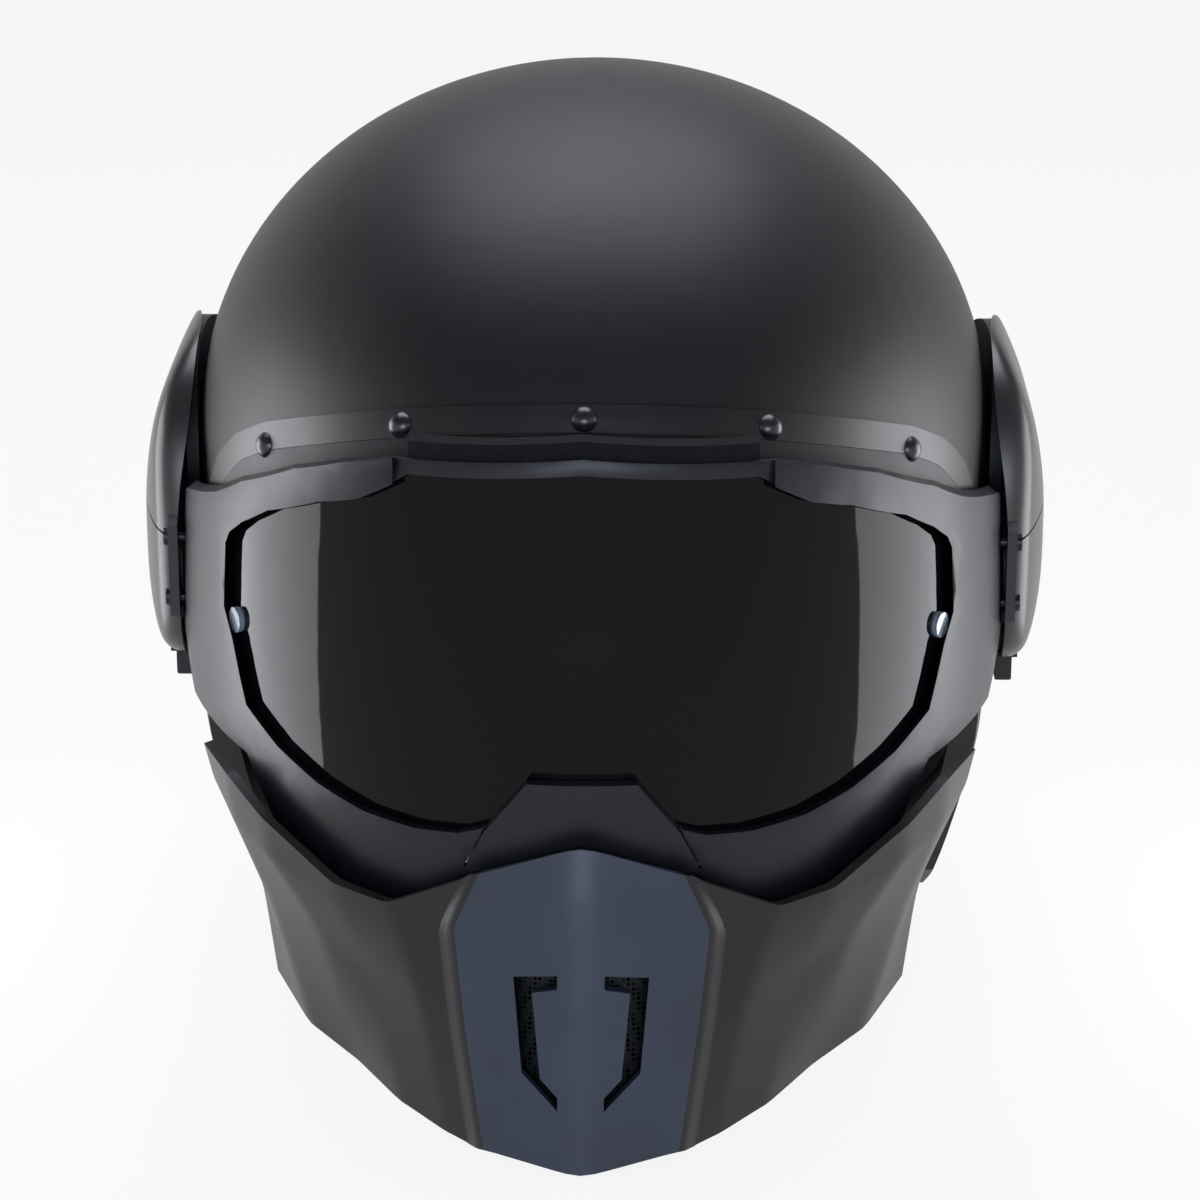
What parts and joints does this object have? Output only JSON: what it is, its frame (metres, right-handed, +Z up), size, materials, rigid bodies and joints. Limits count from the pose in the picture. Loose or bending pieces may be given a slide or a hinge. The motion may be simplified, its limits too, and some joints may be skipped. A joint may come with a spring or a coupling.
{
  "type": "open face motorcycle helmet",
  "caption": "Open face motorcycle helmet in matte black with a swing-up smoked goggle mask, faceted vented chin guard, riveted brow strip and side pivot pods.",
  "frame": {"origin": "on the table under the middle of the helmet's bounding box, with the helmet standing on its rear rim and chin tip", "axes": "+X to the viewer's right when facing the helmet, the face looks along -Y, +Z up"},
  "size_m": [0.29, 0.3442, 0.281],
  "materials": {
    "shell_black": "matte lacquer",
    "strip_black": "satin moulded",
    "rivet_black": "satin paint",
    "trim_rubber": "matt",
    "foam_black": "moulded bead foam",
    "lining_fabric": "knitted",
    "pivot_plastic": "moulded",
    "screw_steel": "blackened",
    "arm_metal": "painted",
    "cover_plastic": "satin gloss",
    "tab_plastic": "moulded",
    "frame_plastic": "satin moulded",
    "lens_smoke": "smoke",
    "pin_clear": "clear",
    "gasket_rubber": "satin",
    "guard_plastic": "matt lacquer",
    "mesh_steel": "blackened",
    "strap_webbing": "woven",
    "buckle_steel": "satin",
    "tongue_plastic": "moulded"
  },
  "bodies": {
    "shell": {"base_screws": "screw_steel", "brow_rivets": "rivet_black", "brow_strip": "strip_black", "buckle_body": "buckle_steel", "buckle_pin": "screw_steel", "cheek_pad_left": "lining_fabric", "cheek_pad_right": "lining_fabric", "crown_pad": "lining_fabric", "detent_leaf_left": "screw_steel", "detent_leaf_right": "screw_steel", "edge_trim": "trim_rubber", "eps_liner": "foam_black", "friction_washers": "screw_steel", "neck_roll": "lining_fabric", "outer_shell": "shell_black", "pivot_base_left": "pivot_plastic", "pivot_base_right": "pivot_plastic", "pivot_nuts": "screw_steel", "pivot_screw_left": "screw_steel", "pivot_screw_right": "screw_steel", "ratchet_tongue": "tongue_plastic", "strap_anchors": "screw_steel", "strap_left": "strap_webbing", "strap_right": "strap_webbing"},
    "mask": {"mask_arm_left": "arm_metal", "mask_arm_right": "arm_metal", "pod_screws": "screw_steel", "side_cover_upper_left": "cover_plastic", "side_cover_upper_right": "cover_plastic", "side_cover_lower_left": "cover_plastic", "side_cover_lower_right": "cover_plastic", "tab_spring_left": "screw_steel", "tab_spring_right": "screw_steel", "nose_piece": "frame_plastic", "goggle_frame": "frame_plastic", "guard_screws": "screw_steel", "arm_screws": "screw_steel", "lens": "lens_smoke", "lens_pins": "pin_clear", "lens_gasket": "gasket_rubber", "brow_seal": "gasket_rubber", "chin_guard": "guard_plastic", "vent_mesh": "mesh_steel"},
    "tab_left": {"release_tab_left": "tab_plastic"},
    "tab_right": {"release_tab_right": "tab_plastic"},
    "lever": {"buckle_lever": "buckle_steel"}
  },
  "joints": [
    {"name": "mask_pivot", "type": "hinge", "parent": "shell", "child": "mask", "pos_m": [0, 0.0409, 0.157], "axis": [-1, 0, 0], "range_deg": [0, 70]},
    {"name": "release_tab_left_slide", "type": "slide", "parent": "mask", "child": "tab_left", "axis": [0, 0, 1], "range_m": [0, 0.003], "stiffness_N_per_m": 600, "springref_m": -0.002, "deforming": ["tab_spring_left"]},
    {"name": "release_tab_right_slide", "type": "slide", "parent": "mask", "child": "tab_right", "axis": [0, 0, 1], "range_m": [0, 0.003], "stiffness_N_per_m": 600, "springref_m": -0.002, "deforming": ["tab_spring_right"]},
    {"name": "buckle_lever_hinge", "type": "hinge", "parent": "shell", "child": "lever", "pos_m": [0.022, 0.0249, 0.02115], "axis": [0, 1, 0], "range_deg": [0, 35], "stiffness_Nm_per_rad": 0.02, "springref_deg": -17.19}
  ]
}
